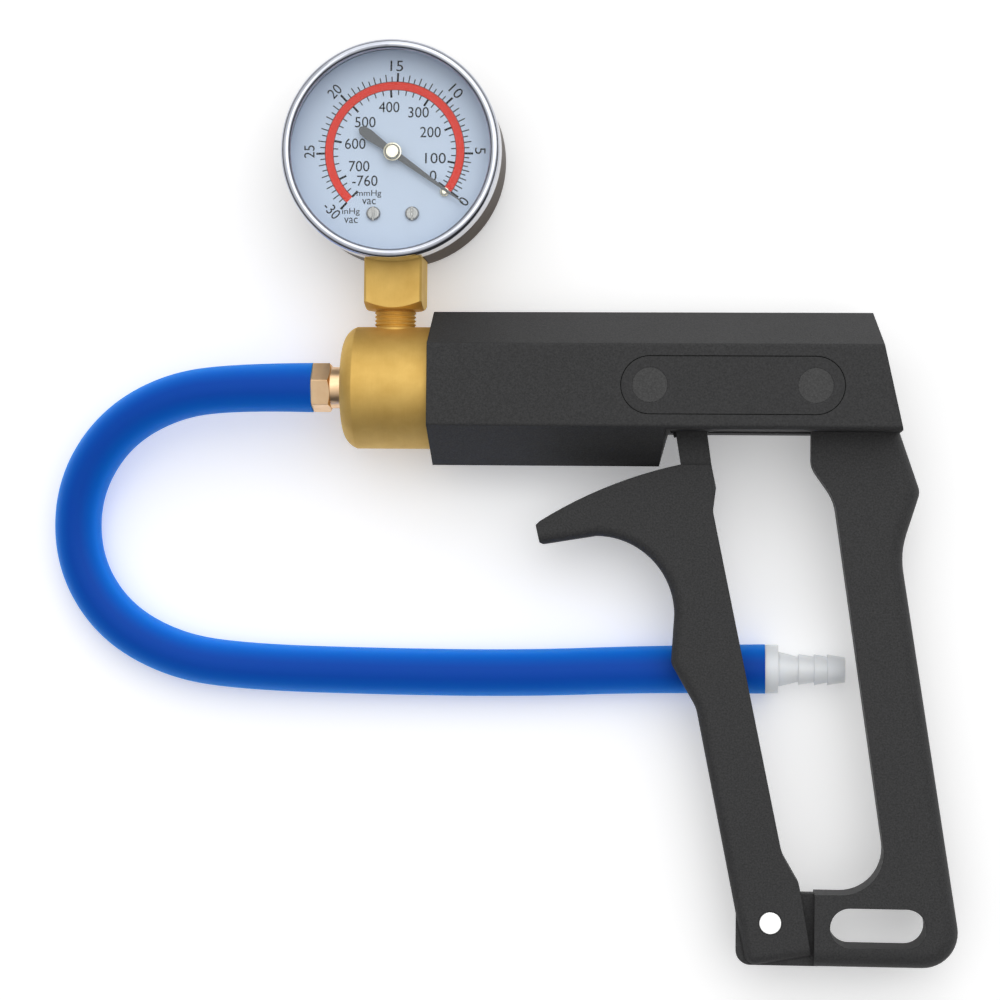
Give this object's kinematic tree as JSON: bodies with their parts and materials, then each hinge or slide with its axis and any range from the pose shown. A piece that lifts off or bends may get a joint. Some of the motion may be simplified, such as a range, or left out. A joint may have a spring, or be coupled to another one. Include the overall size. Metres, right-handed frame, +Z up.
{
  "type": "hand vacuum pump",
  "caption": "Pistol-grip hand vacuum pump with trigger, six-sided barrel, brass head, dial gauge and a barbed hose.",
  "frame": {"origin": "bottom centre of the pump without its hose, lying on its right side on a table", "axes": "+X from the hose end back along the barrel, +Y from the grip towards the gauge, +Z up, out of the pump's left side"},
  "size_m": [0.222, 0.2204, 0.034],
  "materials": {
    "black_plastic": "glass-filled moulding, fine texture",
    "cover_plastic": "glass-filled moulding, fine texture",
    "stud_plastic": "turned face, slightly paler",
    "satin_brass": "satin, fine turning marks",
    "copper_brass": "drawn, pinkish",
    "blue_silicone": "smooth, slightly glossy",
    "white_nylon": "natural moulding, slightly translucent",
    "chrome": "polished",
    "dark_chrome": "dark polished",
    "clear_lens": "clear",
    "dial_paint": "satin pale blue-white with printed scales",
    "pointer_paint": "satin dark grey",
    "pale_brass": "polished",
    "zinc_steel": "bright zinc plate",
    "ground_steel": "ground",
    "spring_steel": "drawn wire",
    "seal_rubber": "matt",
    "movement_brass": "stamped and turned",
    "liner_aluminium": "drawn",
    "white_acetal": "turned"
  },
  "bodies": {
    "pump_body": {"pump_housing": "black_plastic", "left_side_cover": "cover_plastic", "right_side_cover": "cover_plastic", "left_cover_studs": "stud_plastic", "right_cover_studs": "stud_plastic", "cylinder_head": "satin_brass", "gauge_socket": "satin_brass", "hose_fitting": "copper_brass", "hose": "blue_silicone", "hose_end_connector": "white_nylon", "gauge_bezel": "chrome", "gauge_case": "dark_chrome", "gauge_lens": "clear_lens", "gauge_dial": "dial_paint", "dial_stop_pin": "pale_brass", "dial_screws": "zinc_steel", "gauge_case_screws": "zinc_steel", "pivot_pin": "zinc_steel", "return_spring": "spring_steel", "hairspring": "spring_steel", "head_gasket": "seal_rubber", "inlet_valve": "seal_rubber", "movement_back_plate": "movement_brass", "movement_front_plate": "movement_brass", "movement_pillars": "movement_brass", "bourdon_tube": "movement_brass", "tube_end_cap": "movement_brass", "drive_link": "movement_brass", "valve_retainer": "movement_brass", "cylinder_sleeve": "liner_aluminium", "rod_guide_bush": "white_acetal"},
    "trigger": {"trigger": "black_plastic"},
    "piston": {"piston": "white_acetal", "piston_seal": "seal_rubber", "exhaust_flap": "seal_rubber", "flap_washer": "zinc_steel", "piston_nut": "zinc_steel", "piston_rod": "ground_steel", "rod_fork": "ground_steel", "link_pin": "zinc_steel"},
    "pointer": {"pointer": "pointer_paint", "pointer_hub": "pale_brass", "pinion_arbor": "movement_brass"},
    "sector": {"sector_gear": "movement_brass"}
  },
  "joints": [
    {"name": "trigger_pivot", "type": "hinge", "parent": "pump_body", "child": "trigger", "pos_m": [0.04143, -0.0999, 0.017], "axis": [0, 0, -1], "range_deg": [0, 11], "stiffness_Nm_per_rad": 13.8, "springref_deg": -8.02},
    {"name": "piston_slide", "type": "slide", "parent": "pump_body", "child": "piston", "axis": [1, 0, 0], "range_m": [0, 0.0248], "deforming": ["return_spring"]},
    {"name": "pointer_spin", "type": "hinge", "parent": "pump_body", "child": "pointer", "pos_m": [-0.05037, 0.0839, 0.0267], "axis": [0, 0, 1], "range_deg": [0, 262.5], "stiffness_Nm_per_rad": 0.0002, "springref_deg": -17.19},
    {"name": "sector_spin", "type": "hinge", "parent": "pump_body", "child": "sector", "pos_m": [-0.05037, 0.0719, 0.018], "axis": [0, 0, 1], "range_deg": [-29.4, 0]}
  ],
  "couplings": [
    {"joint": "piston_slide", "follows": "trigger_pivot", "m_per_rad": 0.12857},
    {"joint": "sector_spin", "follows": "pointer_spin", "ratio": -0.11111}
  ]
}
